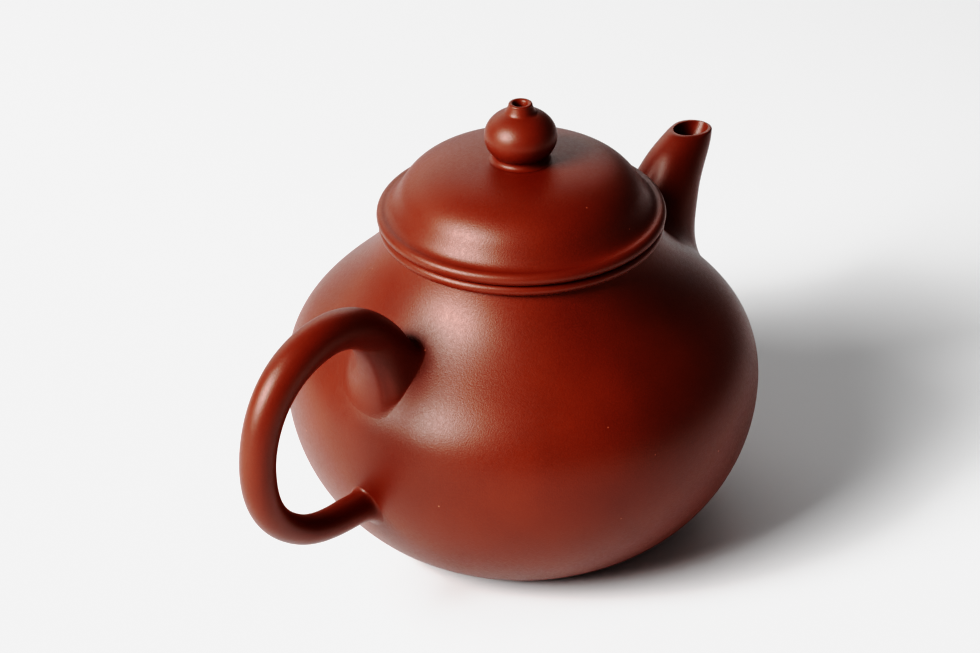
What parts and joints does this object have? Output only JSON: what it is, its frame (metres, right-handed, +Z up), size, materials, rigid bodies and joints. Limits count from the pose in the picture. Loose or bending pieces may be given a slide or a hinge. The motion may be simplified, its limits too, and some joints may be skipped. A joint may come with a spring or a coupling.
{
  "type": "teapot",
  "caption": "Small round unglazed red clay teapot with a short leaning spout, an ear-shaped rod handle and a lift-off domed lid with a vented knob.",
  "frame": {"origin": "centre of the flat base, on the axis of the round body, at the resting plane", "axes": "+Z up along the body's axis, +X toward the spout, -X toward the handle, XZ is the mirror plane"},
  "size_m": [0.1349, 0.094, 0.0901],
  "materials": {
    "body_clay": "unglazed red clay, burnished to a satin sheen",
    "lid_clay": "unglazed red clay, burnished to a satin sheen",
    "raw_clay": "unglazed red clay, unburnished and matt"
  },
  "bodies": {
    "pot": {"base_disc": "body_clay", "body_wall": "body_clay", "top_disc": "body_clay", "mouth_ring": "body_clay", "spout": "body_clay", "strainer": "raw_clay", "handle": "body_clay"},
    "lid": {"lid_dome": "lid_clay", "lid_brim": "lid_clay", "lid_flange": "raw_clay", "knob": "lid_clay"}
  },
  "joints": [
    {"name": "lid_lift", "type": "slide", "parent": "pot", "child": "lid", "axis": [0, 0, 1], "range_m": [0, 0.06]}
  ]
}
